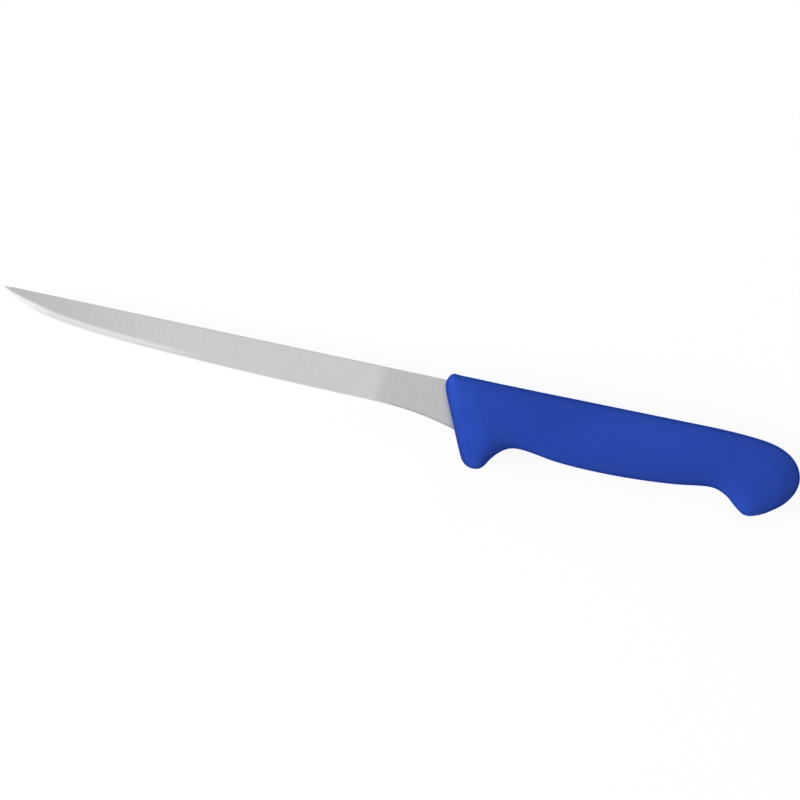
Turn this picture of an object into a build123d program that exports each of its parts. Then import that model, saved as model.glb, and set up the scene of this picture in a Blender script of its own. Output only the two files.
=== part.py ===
from build123d import *
import os
from math import copysign, cos, pi, sin

# Fillet knife with a moulded handle, lying on its side. While it is drawn, X runs from the tip
# towards the butt and is zero where the back of the blade enters the handle, Y points to the back
# of the blade and is zero on that back, and Z is square to the steel and zero in its middle.

# Blade outline
BLADE_LENGTH = 180.0
BLADE_DEPTH = 14.1
HEEL_START = 28.0
HEEL_RADIUS = 128.0
TIP_RADIUS = 0.45
# Points of the cutting edge: share of the straight blade from the tip, share of its depth, and how
# much of the wide bevel shows there.
EDGE_SHARES = (
    (0.013, 0.13, 1.0), (0.033, 0.25, 1.0), (0.072, 0.435, 1.0), (0.112, 0.56, 1.0),
    (0.164, 0.66, 1.0), (0.296, 0.806, 0.8), (0.493, 0.908, 0.3), (0.724, 0.973, 0.15),
    (0.94, 0.998, 0.15),
)

# Steel thickness, and the grinding that thins it
SHEET = 2.0
GROUND_BACK = 1.8
GROUND_TIP = 1.2
GROUND_EDGE = 0.56
WHEEL_RADIUS = 30.0

# Bevels along the cutting edge
EDGE_LAND = 0.1
HONE_WIDTH = 0.8
HONE_BACK = 0.3
BEVEL_WIDTH = 2.3
TIP_LEAN_SHARE = 1.35

# Tang inside the handle
HEEL_INSET = 9.0
TANG_END = 106.0
TANG_DROP = 2.4
TANG_WIDTH = 12.0
TANG_HOLE = 6.0
TANG_HOLES = 3
TANG_HOLE_FIRST = 30.0
TANG_HOLE_PITCH = 30.0

# Handle outline, with depths measured down from the back of the blade
HANDLE_THICKNESS = 20.0
BACK_START = 2.9
BACK_RISE = 2.95
CROWN_AT = 95.0
CROWN_RISE = 3.5
BUTT_AT = 143.6
BUTT_DEPTH = 10.5
HOOK_AT = 125.0
HOOK_DEPTH = 27.8
NECK_AT = 109.0
NECK_DEPTH = 19.75
PALM_AT = 65.0
PALM_DEPTH = 23.35
NOOK_AT = 34.5
NOOK_DEPTH = 20.87
GUARD_AT = 16.2
GUARD_DEPTH = 32.2
# Points between two named ones: share of the way along X, share of the way along Y.
BACK_SHARES = ((0.5, 0.25),)
BUTT_TOP_SHARES = ((0.576, 0.035), (0.741, 0.115), (0.875, 0.3), (0.967, 0.62))
BUTT_FOOT_SHARES = ((0.085, 0.35), (0.28, 0.62), (0.52, 0.81))
GUARD_SHARES = ((0.16, 0.06), (0.25, 0.2), (0.36, 0.5), (0.59, 0.86))
PALM_SHARES = ((0.235, 0.43), (0.5, 0.81))
REAR_PALM_SHARES = ((0.56, 0.32), (0.83, 0.73))
HOOK_SHARES = ((0.45, 0.222), (0.74, 0.67))
# Sections of the moulding: share along the back line, share along the belly line, thickness share.
STATION_SHARES = (
    (0.0, 0.0, 1.004), (0.04, 0.035, 1.004), (0.075, 0.075, 1.004), (0.11, 0.13, 1.004),
    (0.16, 0.18, 1.004), (0.22, 0.245, 1.004), (0.26, 0.295, 1.004), (0.305, 0.355, 1.004),
    (0.355, 0.42, 1.004), (0.405, 0.485, 1.004), (0.455, 0.55, 1.004), (0.51, 0.62, 1.004),
    (0.56, 0.69, 1.004), (0.605, 0.75, 1.004), (0.67, 0.84, 1.004), (0.735, 0.885, 1.004),
    (0.78, 0.915, 1.004), (0.825, 0.943, 0.99), (0.862, 0.962, 0.94), (0.897, 0.975, 0.865),
    (0.932, 0.983, 0.77), (0.965, 0.989, 0.66), (0.988, 0.993, 0.57),
)
SQUARENESS = 2.7
QUARTER_POINTS = 4

# Closing of the hook beyond the last full section: places between the top of that section and the
# point of the hook, its sections, and how far round to the point the last one lies.
HOOK_FOOT_SHARES = ((0.4, 0.62), (0.65, 0.87), (0.87, 0.99))
HOOK_RIM_SHARES = (0.28, 0.52, 0.72, 0.88, 1.0)
HOOK_END_SHARE = 0.93

# Front of the handle: a flat face that leans forward over the heel, and the rounding of its rim
FACE_TOP_AT = -0.05
FACE_TOP_DEPTH = 5.0
FACE_FOOT_AT = 10.7
FACE_FOOT_DEPTH = 28.4
FACE_LEAD = 0.9
FACE_LEAD_DEPTH = 0.5
FACE_CHEEK_ROUND = 2.8
# Points of the rim's rounding between the named ones, as above.
TOP_CORNER_SHARES = ((0.33, 0.86),)
FOOT_CORNER_SHARES = ((0.45, 0.76),)
# Sections of the rounding, as shares of its turn from the flat face to the full handle.
RIM_SHARES = (0.0, 0.28, 0.56, 0.85, 1.0)

OVERRUN = 1.0


def between(start, end, shares):
    """Points part of the way from one named point to the next."""
    return [
        (start[0] + (end[0] - start[0]) * x, start[1] + (end[1] - start[1]) * y) for x, y in shares
    ]


def heel_depth(x):
    """Depth of the heel's flaring lower edge at a place behind its start."""
    run = x + HEEL_START
    return BLADE_DEPTH + HEEL_RADIUS - (HEEL_RADIUS**2 - run**2) ** 0.5


def ground_half(x, y):
    """Half the thickness that the flat grind leaves at a place on the blade."""
    ahead = -HEEL_START - x
    along = (GROUND_BACK - GROUND_TIP) / 2 / (BLADE_LENGTH - HEEL_START)
    across = (GROUND_BACK - GROUND_EDGE) / 2 / BLADE_DEPTH
    return GROUND_BACK / 2 - along * ahead + across * y


def land_half(x, y, show):
    """Half the thickness of the whetted edge itself."""
    return EDGE_LAND / 2


def hone_half(x, y, show):
    """Half the thickness at the shoulder of the narrow honed bevel."""
    flat = ground_half(x, y)
    return flat + (HONE_BACK / 2 - flat) * show


def bevel_half(x, y, show):
    """Half the thickness at the shoulder of the wide bevel, which lies on the flat grind."""
    return ground_half(x, y)


def blade_level(inset, half, side):
    """Closed outline of the ground blade at one level: a distance in from the edge, on one side."""
    corner = (-BLADE_LENGTH, 0)
    heel = (-HEEL_START, -BLADE_DEPTH)
    points = between(corner, heel, [share[:2] for share in EDGE_SHARES])
    shows = [share[2] for share in EDGE_SHARES]
    line = Spline((-BLADE_LENGTH, -TIP_RADIUS), *points, heel)
    toe = Vector(inset * TIP_LEAN_SHARE - BLADE_LENGTH, -TIP_RADIUS)
    rim = [Vector(toe.X, toe.Y, side * half(toe.X, toe.Y, shows[0]))]
    for point, show in zip(points, shows):
        along = line.tangent_at(line.param_at_point(point))
        place = Vector(point) + Vector(-along.Y, along.X) * inset
        if place.Y < 2 * toe.Y:
            rim.append(Vector(place.X, place.Y, side * half(place.X, place.Y, show)))
    rim.append(Vector(*heel, side * half(*heel, shows[-1])))
    nose_x = rim[0].X + TIP_RADIUS
    back_heel = Vector(-HEEL_START, 0, side * half(-HEEL_START, 0, shows[-1]))
    back_tip = Vector(nose_x, 0, side * half(nose_x, 0, shows[0]))
    return Wire([
        Edge.make_spline(rim),
        Edge.make_line(rim[-1], back_heel),
        Edge.make_line(back_heel, back_tip),
        Edge.make_line(back_tip, rim[0]),
    ])


def ground_blade():
    """Blade from the tip to the start of the heel, flat ground and bevelled on both sides."""
    levels = (
        (BEVEL_WIDTH, bevel_half, 1), (HONE_WIDTH, hone_half, 1), (0, land_half, 1),
        (0, land_half, -1), (HONE_WIDTH, hone_half, -1), (BEVEL_WIDTH, bevel_half, -1),
    )
    return Solid.make_loft([blade_level(*level) for level in levels], ruled=True)


def wheel_cut():
    """Steel that the round of the grinding wheel takes off the upper side behind the flat grind."""
    start = Vector(-HEEL_START, 0, ground_half(-HEEL_START, 0))
    fall = Vector(0, BLADE_DEPTH, ground_half(-HEEL_START, 0) - ground_half(-HEEL_START, -BLADE_DEPTH))
    run = Vector(BLADE_LENGTH - HEEL_START, 0, start.Z - ground_half(-BLADE_LENGTH, 0))
    normal = run.cross(fall)
    flat = Plane(origin=start, x_dir=fall.cross(normal), z_dir=normal)
    wheel = Cylinder(WHEEL_RADIUS, 4 * BLADE_DEPTH)
    return flat * Pos(0, 0, WHEEL_RADIUS) * Rot(90, 0, 0) * wheel


def heel_and_tang():
    """Steel behind the start of the heel: the part left at full thickness and the holed tang."""
    start = (-HEEL_START, -BLADE_DEPTH)
    heel = TangentArc(start, (HEEL_INSET, -heel_depth(HEEL_INSET)), tangent=(1, 0))
    tang_foot = -TANG_DROP - TANG_WIDTH
    tang_round = TANG_WIDTH / 2
    shoulder = Polyline(heel @ 1, (HEEL_INSET, tang_foot), (TANG_END - tang_round, tang_foot))
    tang_end = ThreePointArc(
        shoulder @ 1, (TANG_END, tang_foot + tang_round), (TANG_END - tang_round, -TANG_DROP)
    )
    back = Polyline(tang_end @ 1, (HEEL_INSET, -TANG_DROP), (HEEL_INSET, 0), (-HEEL_START, 0), start)
    steel = extrude(make_face(Curve() + [heel, shoulder, tang_end, back]), amount=SHEET / 2, both=True)
    for number in range(TANG_HOLES):
        at = TANG_HOLE_FIRST + number * TANG_HOLE_PITCH
        steel -= Pos(at, tang_foot + tang_round) * Cylinder(TANG_HOLE / 2, SHEET + OVERRUN)
    wheel = wheel_cut()
    return steel - wheel - mirror(wheel, about=Plane.XY)


def make_blade():
    """Blade and tang in one piece of steel."""
    return heel_and_tang() + ground_blade()


def back_line():
    """Upper outline of the handle, over the butt and down to the point of the hook."""
    front = (BACK_START, BACK_RISE)
    crown = (CROWN_AT, CROWN_RISE)
    butt = (BUTT_AT, -BUTT_DEPTH)
    hook = (HOOK_AT, -HOOK_DEPTH)
    return Spline(
        front, *between(front, crown, BACK_SHARES), crown, *between(crown, butt, BUTT_TOP_SHARES),
        butt, *between(butt, hook, BUTT_FOOT_SHARES),
    )


def belly_line():
    """Lower outline of the handle, from the foot of the guard to the point of the hook."""
    guard = (GUARD_AT, -GUARD_DEPTH)
    nook = (NOOK_AT, -NOOK_DEPTH)
    palm = (PALM_AT, -PALM_DEPTH)
    neck = (NECK_AT, -NECK_DEPTH)
    hook = (HOOK_AT, -HOOK_DEPTH)
    return Spline(
        guard, *between(guard, nook, GUARD_SHARES), nook, *between(nook, palm, PALM_SHARES), palm,
        *between(palm, neck, REAR_PALM_SHARES), neck, *between(neck, hook, HOOK_SHARES), hook,
    )


def section(top, foot, half):
    """Rounded section between a point of the back line and a point of the belly line."""
    middle = (top + foot) / 2
    arm = (top - foot) / 2
    up = Vector(0, 0, half)
    power = 2 / SQUARENESS

    def place(turn):
        across = copysign(abs(cos(turn)) ** power, cos(turn))
        rise = copysign(abs(sin(turn)) ** power, sin(turn))
        return middle + arm * across + up * rise

    directions = (up, -arm, -up, arm)
    sides = []
    for quarter in range(4):
        turns = [(quarter + step / QUARTER_POINTS) * pi / 2 for step in range(QUARTER_POINTS + 1)]
        ends = [directions[quarter].normalized(), directions[(quarter + 1) % 4].normalized()]
        sides.append(Edge.make_spline([place(turn) for turn in turns], tangents=ends))
    return Wire(sides)


def front_sections():
    """Sections that open out the front of the handle, from its flat face to the full handle."""
    top = (FACE_TOP_AT, -FACE_TOP_DEPTH)
    lead = (-FACE_LEAD, -FACE_LEAD_DEPTH)
    back = (BACK_START, BACK_RISE)
    foot = (FACE_FOOT_AT, -FACE_FOOT_DEPTH)
    guard = (GUARD_AT, -GUARD_DEPTH)
    lean = (top[0] - foot[0], top[1] - foot[1])
    fall = (-lean[0], -lean[1])
    top_line = Spline(top, lead, *between(lead, back, TOP_CORNER_SHARES), back, tangents=[lean, (1, 0)])
    foot_line = Spline(foot, *between(foot, guard, FOOT_CORNER_SHARES), guard, tangents=[fall, (1, 0)])
    full = HANDLE_THICKNESS / 2 * STATION_SHARES[0][2]
    return [
        section(top_line @ turn, foot_line @ turn, full - FACE_CHEEK_ROUND * (1 - sin(turn * pi / 2)))
        for turn in RIM_SHARES
    ]


def body_sections(back, belly):
    """Full sections of the handle, behind the rounding of its front."""
    return [
        section(back @ along_back, belly @ along_belly, HANDLE_THICKNESS / 2 * thick)
        for along_back, along_belly, thick in STATION_SHARES[1:]
    ]


def hook_sections(back, belly):
    """Sections that close the point of the hook, beyond the last full section of the handle."""
    along_back, along_belly, thick = STATION_SHARES[-1]
    top = back @ along_back
    under = between(tuple(top), (HOOK_AT, -HOOK_DEPTH), HOOK_FOOT_SHARES)
    top_line = Spline(top, *under, tangents=[back % along_back, (-1, 0)])
    half = HANDLE_THICKNESS / 2 * thick
    return [
        section(
            top_line @ turn,
            belly @ (along_belly + (1 - along_belly) * turn),
            half * (1 - (HOOK_END_SHARE * turn) ** 2) ** 0.5,
        )
        for turn in HOOK_RIM_SHARES
    ]


def make_handle(blade):
    """Moulded handle, flat on both cheeks, closed round the tang and keyed through its holes."""
    back = back_line()
    belly = belly_line()
    sections = front_sections() + body_sections(back, belly) + hook_sections(back, belly)
    slab = Box(4 * BUTT_AT, 4 * BUTT_AT, HANDLE_THICKNESS)
    return Solid.make_loft(sections, ruled=False) & (slab - blade)


def main():
    """Build both pieces, stand them on the floor round the middle of the knife, and write them."""
    blade = make_blade()
    pieces = {"blade": blade, "handle": make_handle(blade)}
    box = Compound(list(pieces.values())).bounding_box()
    centre = box.center()
    os.makedirs("parts", exist_ok=True)
    for name, piece in pieces.items():
        placed = Pos(-centre.X, -centre.Y, HANDLE_THICKNESS / 2) * piece
        placed.label = name
        export_step(placed, f"parts/{name}.step")
        print(name, len(placed.solids()), round(placed.volume, 1), placed.bounding_box().size)


main()
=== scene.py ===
"""Looks of a fillet knife: satin steel blade and moulded plastic handle, lying on a white floor.

Lengths are in metres. X runs from the tip of the blade to the butt, Y to the back of the blade and
Z up from the floor, with the knife on its side.
"""

import logging
import math
from dataclasses import dataclass, field
from enum import Enum
from typing import Sequence

import bpy
import numpy as np
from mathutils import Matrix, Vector


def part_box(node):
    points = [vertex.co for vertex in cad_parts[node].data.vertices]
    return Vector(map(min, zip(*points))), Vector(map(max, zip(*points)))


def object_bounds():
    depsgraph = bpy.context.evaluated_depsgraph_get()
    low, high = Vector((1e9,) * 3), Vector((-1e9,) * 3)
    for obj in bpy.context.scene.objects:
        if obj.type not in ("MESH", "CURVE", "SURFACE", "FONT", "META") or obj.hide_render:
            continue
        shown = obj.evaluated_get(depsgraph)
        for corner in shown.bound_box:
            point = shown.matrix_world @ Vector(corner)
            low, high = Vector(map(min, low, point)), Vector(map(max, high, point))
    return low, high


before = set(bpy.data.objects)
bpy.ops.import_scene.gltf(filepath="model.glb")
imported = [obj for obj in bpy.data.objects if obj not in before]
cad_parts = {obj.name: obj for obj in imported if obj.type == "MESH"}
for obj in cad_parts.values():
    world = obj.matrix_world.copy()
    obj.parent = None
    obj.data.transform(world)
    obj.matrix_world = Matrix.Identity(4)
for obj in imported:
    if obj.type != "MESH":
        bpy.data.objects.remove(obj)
FRAME_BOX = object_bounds()

MM = 0.001
log = logging.getLogger("fillet_knife")

Socket = bpy.types.NodeSocket
Colour = tuple[float, float, float]
Value = float | Socket
Span = tuple[float, float]  # Where a smooth step begins, and where it is complete.


class Axis(Enum):
    """Axes of the object, by the name of their output."""

    ALONG = "X"
    ACROSS = "Y"
    UP = "Z"


class Light(Enum):
    """What a light path can be asked for."""

    CAMERA = "Is Camera Ray"
    GLOSSY = "Is Glossy Ray"
    THROUGH = "Is Transmission Ray"


class Mix(Enum):
    """What a mix works on: the node's data type, the places of its two inputs and of its output."""

    COLOUR = ("RGBA", 6, 7, 2)
    DIRECTION = ("VECTOR", 4, 5, 1)


def srgb(red: int, green: int, blue: int) -> Colour:
    """Linear colour of a screen colour.

    Args:
        red: Red, 0 to 255.
        green: Green, 0 to 255.
        blue: Blue, 0 to 255.

    Returns:
        The same colour in linear light, 0 to 1 a channel.
    """

    def linear(channel: int) -> float:
        """Linear share of light of one channel."""
        share = channel / 255
        return share / 12.92 if share <= 0.04045 else ((share + 0.055) / 1.055) ** 2.4

    return linear(red), linear(green), linear(blue)


@dataclass(frozen=True)
class Grain:
    """A cloudy noise, stretched to the size of a pattern.

    The scale is how often it repeats in a metre along each axis, the detail how many finer layers
    it has, rough how strong they are, and turn its turn about the upright axis, in radians.
    """

    scale: tuple[float, float, float]
    detail: float
    rough: float
    turn: float = 0.0


class Sheet:
    """Node tree of one material or of the world, with short calls that add nodes and join them."""

    def __init__(self, tree: bpy.types.NodeTree) -> None:
        """Takes over a tree and empties it."""
        self.tree = tree
        tree.nodes.clear()

    def add(self, kind: str, **settings: object) -> bpy.types.Node:
        """Adds a node.

        Args:
            kind: Type of the node, without its leading ShaderNode.
            settings: Properties of the node to set.

        Returns:
            The new node.
        """
        node = self.tree.nodes.new("ShaderNode" + kind)
        for name, value in settings.items():
            setattr(node, name, value)
        return node

    def feed(self, socket: Socket, value: Value | Colour) -> None:
        """Joins a socket to another one, or sets its own value.

        Args:
            socket: Input to feed.
            value: Output to join it to, or the number or colour to set.
        """
        if isinstance(value, Socket):
            self.tree.links.new(value, socket)
        elif isinstance(value, tuple):
            socket.default_value = (*value, 1.0)
        else:
            socket.default_value = value

    def close(self, shader: Socket, kind: str = "OutputMaterial") -> None:
        """Joins a finished shader to the tree's output.

        Args:
            shader: The shader.
            kind: Type of the output node, without its leading ShaderNode.
        """
        self.feed(self.add(kind).inputs["Surface"], shader)

    def axis(self, axis: Axis) -> Socket:
        """Place along one axis of the object, in metres."""
        split = self.add("SeparateXYZ")
        self.feed(split.inputs[0], self.add("TexCoord").outputs["Object"])
        return split.outputs[axis.value]

    def count(self, operation: str, *values: Value, clamp: bool = False) -> Socket:
        """Works out one number from others.

        Args:
            operation: Name of the sum.
            values: The numbers or outputs that go in.
            clamp: Whether the result is kept between 0 and 1.

        Returns:
            The result.
        """
        node = self.add("Math", operation=operation, use_clamp=clamp)
        for socket, value in zip(node.inputs, values):
            self.feed(socket, value)
        return node.outputs[0]

    def total(self, first: Value, *others: Value) -> Value:
        """Adds up numbers.

        Args:
            first: The first number.
            others: The numbers to add to it.

        Returns:
            Their sum.
        """
        for other in others:
            first = self.count("ADD", first, other)
        return first

    def product(self, first: Value, *others: Value) -> Value:
        """Multiplies numbers.

        Args:
            first: The first number.
            others: The numbers to multiply it by.

        Returns:
            Their product.
        """
        for other in others:
            first = self.count("MULTIPLY", first, other)
        return first

    def distance(self, value: Value, mark: float) -> Socket:
        """How far a number lies from a mark, to either side."""
        return self.count("ABSOLUTE", self.count("SUBTRACT", value, mark))

    def ease(self, value: Value, span: Span) -> Socket:
        """Smooth step: 0 where the value is at the start of a span, 1 at its end, eased between.

        Args:
            value: The number to judge.
            span: Where the step begins, and where it is complete, which may be lower.

        Returns:
            The step, 0 to 1.
        """
        start, end = span
        rising = start <= end
        node = self.add("MapRange", interpolation_type="SMOOTHSTEP", clamp=True)
        self.feed(node.inputs["Value"], value)
        node.inputs["From Min"].default_value = min(span)
        node.inputs["From Max"].default_value = max(span)
        node.inputs["To Min"].default_value = 0.0 if rising else 1.0
        node.inputs["To Max"].default_value = 1.0 if rising else 0.0
        return node.outputs["Result"]

    def spread(self, value: Value, low: float, high: float) -> Socket:
        """Carries a number from the range 0 to 1 over to another range.

        Args:
            value: The number, 0 to 1.
            low: What 0 becomes.
            high: What 1 becomes.

        Returns:
            The number in its new range.
        """
        return self.count("MULTIPLY_ADD", value, high - low, low)

    def sway(self, value: Value, reach: float) -> Socket:
        """Carries a number from the range 0 to 1 over to as much below zero as above it."""
        return self.spread(value, -reach, reach)

    def grain(self, pattern: Grain) -> Socket:
        """Reads a cloudy noise at the place on the object.

        Args:
            pattern: The noise's size and layers.

        Returns:
            The noise, about 0.5 in the middle.
        """
        place = self.add("Mapping")
        self.feed(place.inputs["Vector"], self.add("TexCoord").outputs["Object"])
        place.inputs["Rotation"].default_value = (0, 0, pattern.turn)
        place.inputs["Scale"].default_value = pattern.scale
        noise = self.add("TexNoise", noise_dimensions="3D")
        self.feed(noise.inputs["Vector"], place.outputs["Vector"])
        noise.inputs["Scale"].default_value = 1.0
        noise.inputs["Detail"].default_value = pattern.detail
        noise.inputs["Roughness"].default_value = pattern.rough
        return noise.outputs["Fac"]

    def blend(
        self, share: Value, first: Colour | Socket, second: Colour | Socket, mix: Mix = Mix.COLOUR
    ) -> Socket:
        """Mixes two colours, or two directions.

        Args:
            share: Share of the second one.
            first: What share 0 gives.
            second: What share 1 gives.
            mix: What is mixed.

        Returns:
            The mixture.
        """
        data_type, first_input, second_input, output = mix.value
        node = self.add("Mix", data_type=data_type, clamp_factor=True)
        self.feed(node.inputs["Factor"], share)
        self.feed(node.inputs[first_input], first)
        self.feed(node.inputs[second_input], second)
        return node.outputs[output]

    def shade(self, colour: Colour | Socket, level: Value) -> Socket:
        """Makes a colour lighter or darker.

        Args:
            colour: The colour.
            level: How much of its brightness is left, 1 for all of it.

        Returns:
            The shaded colour.
        """
        node = self.add("HueSaturation")
        self.feed(node.inputs["Color"], colour)
        self.feed(node.inputs["Value"], level)
        return node.outputs["Color"]

    def curve(self, value: Value, points: Sequence[tuple[float, float]]) -> Socket:
        """Reads a number off a smooth curve.

        Args:
            value: Where to read, 0 to 1.
            points: Places on the curve and its heights there, both 0 to 1.

        Returns:
            The height of the curve.
        """
        node = self.add("FloatCurve")
        line = node.mapping.curves[0]
        for at, height in points[1:-1]:
            line.points.new(at, height)
        line.points[0].location = points[0]
        line.points[len(points) - 1].location = points[-1]
        node.mapping.update()
        self.feed(node.inputs["Value"], value)
        return node.outputs[0]

    def bump(
        self, height: Value, depth: float, strength: float, under: Socket | None = None
    ) -> Socket:
        """Relief too fine to be modelled.

        Args:
            height: Height of the relief, 0 to 1.
            depth: Height that 1 stands for, in metres.
            strength: Share of the relief that shows.
            under: Relief that this one lies on.

        Returns:
            The surface's direction with the relief.
        """
        node = self.add("Bump")
        node.inputs["Strength"].default_value = strength
        node.inputs["Distance"].default_value = depth
        self.feed(node.inputs["Height"], height)
        if under is not None:
            self.feed(node.inputs["Normal"], under)
        return node.outputs["Normal"]

    def seen(self) -> Socket:
        """Tells whether a ray sees the background: straight, in a gloss or through something clear.

        Returns:
            1 for such a ray, and 0 for one that only lights a surface.
        """
        path = self.add("LightPath")
        either = self.total(path.outputs[Light.CAMERA.value], path.outputs[Light.GLOSSY.value])
        return self.count("ADD", either, path.outputs[Light.THROUGH.value], clamp=True)

    def mix_shaders(self, share: Value, first: bpy.types.Node, second: bpy.types.Node) -> Socket:
        """Mixes two shaders.

        Args:
            share: Share of the second one.
            first: Shader at share 0.
            second: Shader at share 1.

        Returns:
            The mixed shader.
        """
        mixed = self.add("MixShader")
        for socket, value in zip(mixed.inputs, (share, first.outputs[0], second.outputs[0])):
            self.feed(socket, value)
        return mixed.outputs[0]


@dataclass(frozen=True)
class Spot:
    """Where a point lies on the blade, in metres.

    From the tip, from the start of the heel, below the back, the depth of the cutting edge below
    the back at that place, and how far in from the edge the point is.
    """

    from_tip: Socket
    from_heel: Socket
    below_back: Socket
    edge_depth: Socket
    inset: Socket


@dataclass(frozen=True)
class Finish:
    """A material: its name, whether it is metal, and how rough it is, 0 to 1."""

    name: str = "finish"
    metallic: float = 0.0
    roughness: float = 0.5

    def start(self) -> tuple[bpy.types.Material, Sheet]:
        """Makes an empty material.

        Returns:
            The material and its node tree.
        """
        material = bpy.data.materials.new(self.name)
        material.use_nodes = True
        return material, Sheet(material.node_tree)

    def cover(
        self, sheet: Sheet, colour: Socket, roughness: Socket, normal: Socket
    ) -> bpy.types.Node:
        """Joins a colour, a roughness and a relief into the surface.

        Args:
            sheet: The material's node tree.
            colour: The colour.
            roughness: The roughness, 0 to 1.
            normal: The surface's direction with its relief.

        Returns:
            The surface's node.
        """
        surface = sheet.add("BsdfPrincipled")
        surface.inputs["Metallic"].default_value = self.metallic
        sheet.feed(surface.inputs["Base Color"], colour)
        sheet.feed(surface.inputs["Roughness"], roughness)
        sheet.feed(surface.inputs["Normal"], normal)
        sheet.close(surface.outputs["BSDF"])
        return surface


@dataclass(frozen=True)
class SatinSteel(Finish):
    """Stainless steel, ground crosswise on a belt. Painted reflection makes its bevel and honed
    edge paler, and thin lines of painted shade run along the hone and the heel's edge.
    """

    name: str = "satin_steel"
    metallic: float = 1.0
    roughness: float = 0.32

    ground: Colour = srgb(202, 202, 203)
    unground: Colour = srgb(188, 188, 189)
    # Painted reflection: the bevel and the honed edge get paler colours for the light their faces
    # reflect, palest near the tip.
    bevel: Colour = srgb(225, 225, 226)
    painted_tip_reflection: Colour = srgb(241, 241, 242)
    # Painted shade: a thin darker line along the inner edge of the honed part.
    hone_line_shade: Colour = srgb(196, 197, 199)
    back: Colour = srgb(188, 188, 190)
    tip: Colour = srgb(188, 188, 189)
    # Painted shade: a darker line just inside the heel's cut edge.
    heel_edge_shade: Colour = srgb(174, 174, 176)

    # Spans along the blade, counted from its tip.
    tip_span: Span = (78 * MM, 3 * MM)
    bevel_fade: Span = (92 * MM, 50 * MM)
    tip_reflection_span: Span = (26 * MM, 8 * MM)
    hone_shade_start: Span = (12 * MM, 26 * MM)

    # Spans along the blade, counted from the start of its heel.
    heel_span: Span = (-1 * MM, 4.5 * MM)
    hone_end: Span = (1 * MM, -6 * MM)
    flat_end: Span = (0 * MM, -3 * MM)
    heel_shade_start: Span = (2 * MM, 12 * MM)

    # Spans across the blade.
    back_line: Span = (0.9 * MM, 0.1 * MM)  # Below the back.
    bevel_rim: Span = (1.32, 0.86)  # In from the edge, as shares of the bevel's reach.
    hone_shade_line: Span = (0.3 * MM, 0.05 * MM)  # To either side of the honed edge's inner line.
    heel_shade_line: Span = (0.6 * MM, 0.15 * MM)  # To either side of the painted shade line's middle.

    # Places across the blade.
    bevel_share: float = 0.32  # Share of the blade's depth that the bevel takes at most.
    hone_full: float = 0.1 * MM  # How far in from the edge the honed part is at its palest.
    flat_rim: float = 0.2 * MM  # How far behind the honed part its flat light ends.
    heel_shade_inset: float = 0.45 * MM  # How far in from the heel's edge the painted shade line lies.

    # How much of each tone shows.
    back_share: float = 0.6
    hone_share: float = 0.55
    hone_shade_share: float = 0.5

    # Grinding lines across the blade, coarser streaks and soft clouds, with what they do to the
    # brightness and to the roughness, to either side.
    lines: Grain = Grain((1 / (0.14 * MM), 1 / (7 * MM), 1 / (7 * MM)), 2.0, 0.6)
    streaks: Grain = Grain((700.0, 24.0, 24.0), 3.0, 0.5)
    cloud: Grain = Grain((28.0, 60.0, 60.0), 2.0, 0.5)
    line_tone: float = 0.12
    streak_tone: float = 0.02
    cloud_tone: float = 0.02
    line_gloss: float = 0.05
    streak_gloss: float = 0.04
    relief: float = 0.008 * MM
    relief_share: float = 0.3

    def tone_flats(self, sheet: Sheet, spot: Spot) -> Socket:
        """Colour of the ground flat, which darkens to the tip, the back and the unground heel.

        Args:
            sheet: The material's node tree.
            spot: Where a point lies on the blade.

        Returns:
            The colour.
        """
        tone = sheet.blend(sheet.ease(spot.from_heel, self.heel_span), self.ground, self.unground)
        tone = sheet.blend(sheet.ease(spot.from_tip, self.tip_span), tone, self.tip)
        spine = sheet.product(sheet.ease(spot.below_back, self.back_line), self.back_share)
        return sheet.blend(spine, tone, self.back)

    def tone_edge(self, sheet: Sheet, blade: "Blade", spot: Spot, tone: Socket) -> Socket:
        """Lays painted reflection on the bevel and the honed edge, and a painted shade line behind
        the honed edge, over the flat.

        Args:
            sheet: The material's node tree.
            blade: The blade, whose sizes place the tones.
            spot: Where a point lies on the blade.
            tone: Colour of the flat.

        Returns:
            The colour.
        """
        # Painted reflection: a paler band along the bevel, brighter still near the tip.
        reach = sheet.product(spot.edge_depth, self.bevel_share)
        reach = sheet.count("MINIMUM", reach, blade.bevel_width)
        band = sheet.ease(sheet.count("DIVIDE", spot.inset, reach), self.bevel_rim)
        band = sheet.product(band, sheet.ease(spot.from_tip, self.bevel_fade))
        pale = sheet.blend(sheet.ease(spot.from_tip, self.tip_reflection_span), self.bevel, self.painted_tip_reflection)
        tone = sheet.blend(band, tone, pale)

        # The honed edge takes the same painted reflection.
        ahead = sheet.ease(spot.from_heel, self.hone_end)
        whet = sheet.ease(spot.inset, (blade.hone_width, self.hone_full))
        tone = sheet.blend(sheet.product(whet, ahead, self.hone_share), tone, pale)
        # Painted shade: a thin darker line where the honed part meets the bevel.
        line = sheet.ease(sheet.distance(spot.inset, blade.hone_width), self.hone_shade_line)
        line = sheet.product(line, self.hone_shade_share, sheet.ease(spot.from_tip, self.hone_shade_start))
        return sheet.blend(sheet.product(line, ahead), tone, self.hone_line_shade)

    def tone_heel(self, sheet: Sheet, blade: "Blade", spot: Spot, tone: Socket) -> Socket:
        """Lays a painted shade line just inside the cut edge of the heel over the rest.

        The heel's edge leaves the blade's depth on an arc, taken here as a parabola.

        Args:
            sheet: The material's node tree.
            blade: The blade, whose sizes place the line.
            spot: Where a point lies on the blade.
            tone: Colour of the rest.

        Returns:
            The colour.
        """
        square = sheet.product(spot.from_heel, spot.from_heel)
        edge = sheet.count("DIVIDE", square, 2 * blade.heel_radius)
        inside = sheet.count("SUBTRACT", sheet.total(edge, blade.depth), spot.below_back)
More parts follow.
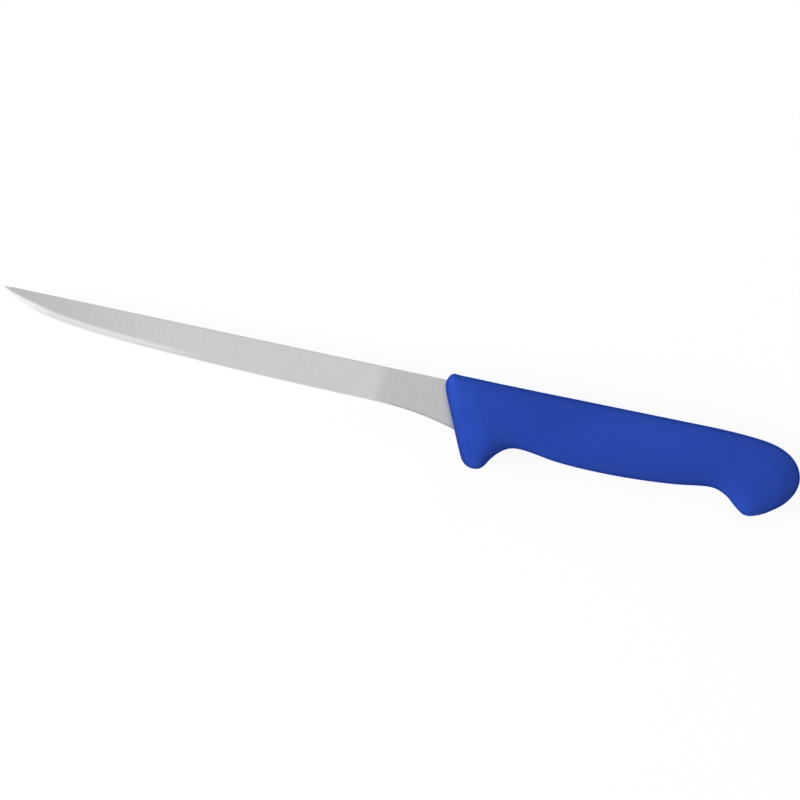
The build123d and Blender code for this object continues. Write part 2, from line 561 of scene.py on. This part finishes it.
        # Painted shade: a darker line just inside the heel's edge.
        line = sheet.ease(sheet.distance(inside, self.heel_shade_inset), self.heel_shade_line)
        line = sheet.product(line, sheet.ease(spot.from_heel, self.heel_shade_start))
        return sheet.blend(line, tone, self.heel_edge_shade)

    def build(self, blade: "Blade") -> bpy.types.Material:
        """Makes the material for one blade.

        The honed edge is lit by the direction of its own flat faces, which are too narrow to be
        smoothed into their neighbours.

        Args:
            blade: The blade, whose sizes place the tones.

        Returns:
            The material.
        """
        material, sheet = self.start()
        spot = blade.spot(sheet)
        lines = sheet.grain(self.lines)
        streaks = sheet.grain(self.streaks)
        cloud = sheet.grain(self.cloud)

        tone = self.tone_flats(sheet, spot)
        tone = self.tone_edge(sheet, blade, spot, tone)
        tone = self.tone_heel(sheet, blade, spot, tone)
        level = sheet.total(
            sheet.sway(lines, self.line_tone),
            sheet.sway(streaks, self.streak_tone),
            sheet.sway(cloud, self.cloud_tone),
            1.0,
        )
        rough = sheet.total(
            sheet.sway(streaks, self.streak_gloss),
            self.roughness,
            sheet.sway(lines, self.line_gloss),
        )

        faces = sheet.add("NewGeometry")
        smooth, own = faces.outputs["Normal"], faces.outputs["True Normal"]
        honed = sheet.product(
            sheet.ease(spot.inset, (blade.hone_width + self.flat_rim, blade.hone_width)),
            sheet.ease(spot.from_heel, self.flat_end),
        )
        flat = sheet.blend(honed, smooth, own, Mix.DIRECTION)
        relief = sheet.bump(lines, self.relief, self.relief_share, under=flat)
        self.cover(sheet, sheet.shade(tone, level), rough, relief)
        return material


@dataclass(frozen=True)
class CutSteel(Finish):
    """The stamped rim of the sheet, left as cut: darker, with fine lines through the sheet."""

    name: str = "cut_steel"
    metallic: float = 1.0
    roughness: float = 0.4
    colour: Colour = srgb(150, 151, 154)
    lines: Grain = Grain((1 / (0.12 * MM), 1 / (0.12 * MM), 300.0), 2.0, 0.6)
    line_tone: float = 0.1
    line_gloss: float = 0.06
    relief: float = 0.006 * MM
    relief_share: float = 0.4

    def build(self) -> bpy.types.Material:
        """Makes the material.

        Returns:
            The material.
        """
        material, sheet = self.start()
        lines = sheet.grain(self.lines)
        level = sheet.total(sheet.sway(lines, self.line_tone), 1.0)
        rough = sheet.total(sheet.sway(lines, self.line_gloss), self.roughness)
        relief = sheet.bump(lines, self.relief, self.relief_share)
        self.cover(sheet, sheet.shade(self.colour, level), rough, relief)
        return material


@dataclass(frozen=True)
class MouldedPlastic(Finish):
    """Blue polypropylene from a spark-eroded mould: a fine even pebble, a witness line, and painted
    shade on its front face.
    """

    name: str = "blue_plastic"
    colour: Colour = srgb(29, 64, 163)
    pale: Colour = srgb(33, 68, 169)

    # The pebble, with what it does to the brightness and to the roughness, to either side.
    pebble: Grain = Grain((1 / (0.42 * MM),) * 3, 1.0, 0.5)
    pebble_span: Span = (0.32, 0.68)
    pebble_tone: float = 0.05
    pebble_gloss: float = 0.05
    pebble_relief: float = 0.03 * MM

    # Soft clouds between the two colours, and thin rubbed streaks, a little paler and smoother.
    cloud: Grain = Grain((22.0, 45.0, 45.0), 2.0, 0.5)
    cloud_span: Span = (0.3, 0.7)
    wear: Grain = Grain((160.0, 1400.0, 1400.0), 3.0, 0.6, turn=0.5)
    rub_span: Span = (0.66, 0.74)
    rub_tone: float = 0.05
    rub_gloss: float = 0.07

    # The line where the mould parts, across the middle plane.
    witness_span: Span = (0.11 * MM, 0.033 * MM)
    witness_relief: float = 0.05 * MM
    relief_share: float = 0.8

    # The front: a soft swell behind its rim, and painted shade on the leaning face in front of
    # that, fading out just behind it.
    swell_relief: float = 2.0 * MM
    swell_span: Span = (0 * MM, 12 * MM)
    front_painted_shade: float = 0.74
    front_shade_span: Span = (0.5 * MM, 2.4 * MM)

    # The gloss, which is weaker where the surface is seen at a slant.
    specular: float = 0.21
    slant_span: Span = (0.6, 0.1)
    slant_blend: float = 0.5

    def build(self, handle: "Handle") -> bpy.types.Material:
        """Makes the material for one handle.

        Args:
            handle: The handle, which places the witness line and the front.

        Returns:
            The material.
        """
        material, sheet = self.start()
        pebble = sheet.ease(sheet.grain(self.pebble), self.pebble_span)
        cloud = sheet.ease(sheet.grain(self.cloud), self.cloud_span)
        rub = sheet.ease(sheet.grain(self.wear), self.rub_span)
        behind = handle.behind_front(sheet)

        level = sheet.total(
            sheet.sway(pebble, self.pebble_tone),
            sheet.product(rub, self.rub_tone),
            1.0,
        )
        # Painted shade: the leaning front face and a thin band behind it are darkened.
        face = sheet.ease(behind, self.front_shade_span)
        level = sheet.product(level, sheet.spread(face, self.front_painted_shade, 1.0))
        colour = sheet.shade(sheet.blend(cloud, self.colour, self.pale), level)
        rough = sheet.total(sheet.sway(pebble, self.pebble_gloss), self.roughness)
        rough = sheet.count("SUBTRACT", rough, sheet.product(rub, self.rub_gloss))

        off_middle = sheet.distance(sheet.axis(Axis.UP), handle.middle_z)
        witness = sheet.ease(off_middle, self.witness_span)
        relief = sheet.bump(sheet.ease(behind, self.swell_span), self.swell_relief, 1.0)
        relief = sheet.bump(pebble, self.pebble_relief, self.relief_share, under=relief)
        relief = sheet.bump(witness, self.witness_relief, self.relief_share, under=relief)

        surface = self.cover(sheet, colour, rough, relief)
        slant = sheet.add("LayerWeight")
        slant.inputs["Blend"].default_value = self.slant_blend
        gloss = sheet.product(sheet.ease(slant.outputs["Facing"], self.slant_span), self.specular)
        sheet.feed(surface.inputs["Specular IOR Level"], gloss)
        return material


@dataclass
class Blade:
    """The steel: a straight-backed narrow blade, and the heel that runs into the handle.

    The edge points give the depth of the cutting edge below the back, as a share of the blade's
    depth, by the share of the way from the tip to the heel. The lean points make a distance below
    the back into one square to the edge, which slants near the tip.
    """

    node: str = "blade"
    length: float = 180 * MM
    heel: float = 28 * MM
    heel_radius: float = 128 * MM
    depth: float = 14.1 * MM
    bevel_width: float = 2.3 * MM
    hone_width: float = 0.8 * MM
    rim_depth: float = 0.2 * MM
    rim_slant: float = 0.5
    edge_points: tuple[tuple[float, float], ...] = (
        (0.0, 0.03), (0.013, 0.13), (0.033, 0.25), (0.072, 0.435), (0.112, 0.56), (0.164, 0.66),
        (0.296, 0.806), (0.493, 0.908), (0.724, 0.973), (1.0, 1.0),
    )
    lean_points: tuple[tuple[float, float], ...] = (
        (0.0, 0.76), (0.04, 0.86), (0.1, 0.94), (0.2, 0.99), (1.0, 1.0),
    )
    finish: SatinSteel = field(default_factory=SatinSteel)
    rim_finish: CutSteel = field(default_factory=CutSteel)

    @property
    def straight(self) -> float:
        """Length from the tip to the start of the heel."""
        return self.length - self.heel

    @property
    def tip_x(self) -> float:
        """Where the tip is, along the knife."""
        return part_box(self.node)[0].x

    @property
    def back_y(self) -> float:
        """Where the back of the blade is, across the knife."""
        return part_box(self.node)[1].y

    def spot(self, sheet: Sheet) -> Spot:
        """Works out where a point lies on the blade.

        Args:
            sheet: The node tree to work it out in.

        Returns:
            The point's distances, in metres.
        """
        from_tip = sheet.count("SUBTRACT", sheet.axis(Axis.ALONG), self.tip_x)
        from_heel = sheet.count("SUBTRACT", from_tip, self.straight)
        below_back = sheet.count("SUBTRACT", self.back_y, sheet.axis(Axis.ACROSS))
        run = sheet.count("DIVIDE", from_tip, self.straight, clamp=True)
        edge_depth = sheet.product(sheet.curve(run, self.edge_points), self.depth)
        gap = sheet.count("SUBTRACT", edge_depth, below_back)
        inset = sheet.product(gap, sheet.curve(run, self.lean_points))
        return Spot(from_tip, from_heel, below_back, edge_depth, inset)

    def dress(self) -> bpy.types.Object:
        """Gives the blade its finish, and the cut rim of the sheet its own.

        A face belongs to the rim where it stands more upright than it lies flat, along the back
        or behind the start of the heel. The cutting edge is whetted, so it isn't part of the rim.

        Returns:
            The blade.
        """
        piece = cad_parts[self.node]
        mesh = piece.data
        mesh.materials.clear()
        mesh.materials.append(self.finish.build(self))
        mesh.materials.append(self.rim_finish.build())
        normals = np.empty(len(mesh.polygons) * 3, dtype=np.float32)
        centres = np.empty_like(normals)
        mesh.polygons.foreach_get("normal", normals)
        mesh.polygons.foreach_get("center", centres)
        upright = np.abs(normals.reshape(-1, 3)[:, 2]) < self.rim_slant
        along, across, _ = centres.reshape(-1, 3).T
        on_back = across > self.back_y - self.rim_depth
        on_heel = along > self.tip_x + self.straight
        slots = (upright & (on_back | on_heel)).astype(np.int32)
        mesh.polygons.foreach_set("material_index", slots)
        return piece


@dataclass
class Handle:
    """The one-piece moulding, with its finger guard in front and its hooked butt.

    Two points, along and across the knife, mark the line of its leaning front.
    """

    node: str = "handle"
    front_top: tuple[float, float] = (18.15 * MM, 9.3 * MM)
    front_foot: tuple[float, float] = (28.9 * MM, -14.1 * MM)
    finish: MouldedPlastic = field(default_factory=MouldedPlastic)

    @property
    def middle_z(self) -> float:
        """Height of the plane where the mould parts."""
        low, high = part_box(self.node)
        return (low.z + high.z) / 2

    def behind_front(self, sheet: Sheet) -> Socket:
        """Distance behind the leaning line of the handle's front.

        Args:
            sheet: The node tree to work it out in.

        Returns:
            The distance square to that line, in metres.
        """
        (top_x, top_y), (foot_x, foot_y) = self.front_top, self.front_foot
        length = math.hypot(foot_x - top_x, top_y - foot_y)
        along, across = (top_y - foot_y) / length, (foot_x - top_x) / length
        start = along * top_x + across * top_y
        reach = sheet.product(sheet.axis(Axis.ACROSS), across)
        reach = sheet.count("MULTIPLY_ADD", sheet.axis(Axis.ALONG), along, reach)
        return sheet.count("SUBTRACT", reach, start)

    def dress(self) -> bpy.types.Object:
        """Gives the handle its finish.

        Returns:
            The handle.
        """
        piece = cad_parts[self.node]
        piece.data.materials.clear()
        piece.data.materials.append(self.finish.build(self))
        return piece


class LampPart(Enum):
    """What a lamp does: light the surfaces, or only shine in them as a soft reflection."""

    LIGHT = "light"
    SHINE = "shine"


@dataclass(frozen=True)
class Lamp:
    """A square soft lamp: its name, where it hangs, how long its sides are, its power and part."""

    name: str
    place: tuple[float, float, float]
    size: float
    watts: float
    part: LampPart = LampPart.LIGHT


@dataclass
class Studio:
    """White floor, soft light from all round, soft lamps, and the camera overhead.

    The floor's glow share is how much of it shines by itself where a ray sees it. The rest is
    matte and takes the object's shadow, and both together make white.
    """

    floor_size: float = 4.0
    floor_white: float = 0.62
    floor_glow: float = 0.86
    ambient: float = 0.36
    pixel: float = 0.395 * MM
    pixels: int = 800
    roll: float = math.radians(12.05)
    centre: tuple[float, float] = (0.90 * MM, 2.62 * MM)
    lens: float = 120.0
    sensor: float = 36.0
    clip: tuple[float, float] = (0.01, 20.0)
    lamps: tuple[Lamp, ...] = (
        Lamp("key", (-1.2, -0.26, 0.62), 0.7, 19.3),
        Lamp("top", (-0.45, 0.25, 1.5), 1.2, 2.4),
        Lamp("back", (0.0, 1.2, 0.6), 0.7, 5.5),
        Lamp("fill", (0.9, -0.8, 0.7), 0.7, 2.0),
        Lamp("sheen", (-0.9, 0.5, 1.2), 0.8, 1.6, LampPart.SHINE),
    )

    def build_floor(self) -> bpy.types.Object:
        """Makes the floor: one square in the plane that the knife rests on.

        Returns:
            The floor.
        """
        half = self.floor_size / 2
        corners = [(-half, -half, 0), (half, -half, 0), (half, half, 0), (-half, half, 0)]
        mesh = bpy.data.meshes.new("floor")
        mesh.from_pydata(corners, [], [(0, 1, 2, 3)])
        floor = bpy.data.objects.new("floor", mesh)
        bpy.context.scene.collection.objects.link(floor)
        material, sheet = Finish("floor_white").start()
        matte = sheet.add("BsdfDiffuse")
        sheet.feed(matte.inputs["Color"], (self.floor_white,) * 3)
        glow = sheet.add("Emission")
        unlit = 1 - self.floor_white * (1 - self.floor_glow)
        glow.inputs["Strength"].default_value = unlit / self.floor_glow
        share = sheet.product(sheet.seen(), self.floor_glow)
        sheet.close(sheet.mix_shaders(share, matte, glow))
        mesh.materials.append(material)
        return floor

    def build_world(self) -> None:
        """Makes the surroundings: white as background, and a plain soft light on the object."""
        world = bpy.data.worlds.new("studio")
        bpy.context.scene.world = world
        world.use_nodes = True
        sheet = Sheet(world.node_tree)
        light = sheet.add("Background")
        light.inputs["Strength"].default_value = self.ambient
        white = sheet.add("Background")
        for shader in (light, white):
            sheet.feed(shader.inputs["Color"], (1.0, 1.0, 1.0))
        sheet.close(sheet.mix_shaders(sheet.seen(), light, white), "OutputWorld")

    def build_lamp(self, lamp: Lamp) -> None:
        """Hangs one square soft lamp that faces the middle of the knife.

        Args:
            lamp: Its name, place, size and power, and whether it lights or only shines.
        """
        data = bpy.data.lights.new(lamp.name, "AREA")
        data.size = lamp.size
        data.energy = lamp.watts
        hung = bpy.data.objects.new(lamp.name, data)
        hung.location = lamp.place
        hung.rotation_euler = Vector(lamp.place).to_track_quat("Z", "Y").to_euler()
        hung.visible_diffuse = lamp.part is LampPart.LIGHT
        hung.visible_glossy = lamp.part is LampPart.SHINE
        bpy.context.scene.collection.objects.link(hung)

    def build_camera(self) -> bpy.types.Object:
        """Sets the camera straight above, rolled so that the knife slopes down to its butt.

        Its height makes the picture's width, at the height of the knife's middle, the number of
        pixels times the length that one pixel covers.

        Returns:
            The camera.
        """
        data = bpy.data.cameras.new("camera")
        data.lens = self.lens
        data.sensor_width = self.sensor
        data.clip_start, data.clip_end = self.clip
        low, high = FRAME_BOX
        width = self.pixel * self.pixels
        height = (low.z + high.z) / 2 + width * self.lens / self.sensor
        camera = bpy.data.objects.new("camera", data)
        camera.location = (*self.centre, height)
        camera.rotation_euler = (0, 0, self.roll)
        bpy.context.scene.collection.objects.link(camera)
        bpy.context.scene.camera = camera
        return camera

    def build(self) -> None:
        """Makes the floor, the surroundings, the lamps and the camera."""
        self.build_floor()
        self.build_world()
        for lamp in self.lamps:
            self.build_lamp(lamp)
        self.build_camera()
        bpy.context.scene.view_settings.view_transform = "Standard"


def main() -> None:
    """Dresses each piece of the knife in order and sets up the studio."""
    logging.basicConfig(level=logging.INFO)
    for part in (Blade(), Handle()):
        piece = part.dress()
        low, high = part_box(piece.name)
        length = (high.x - low.x) / MM
        log.info("%s: %d triangles, %.1f mm long", piece.name, len(piece.data.polygons), length)
    Studio().build()


if __name__ == "__main__":
    main()
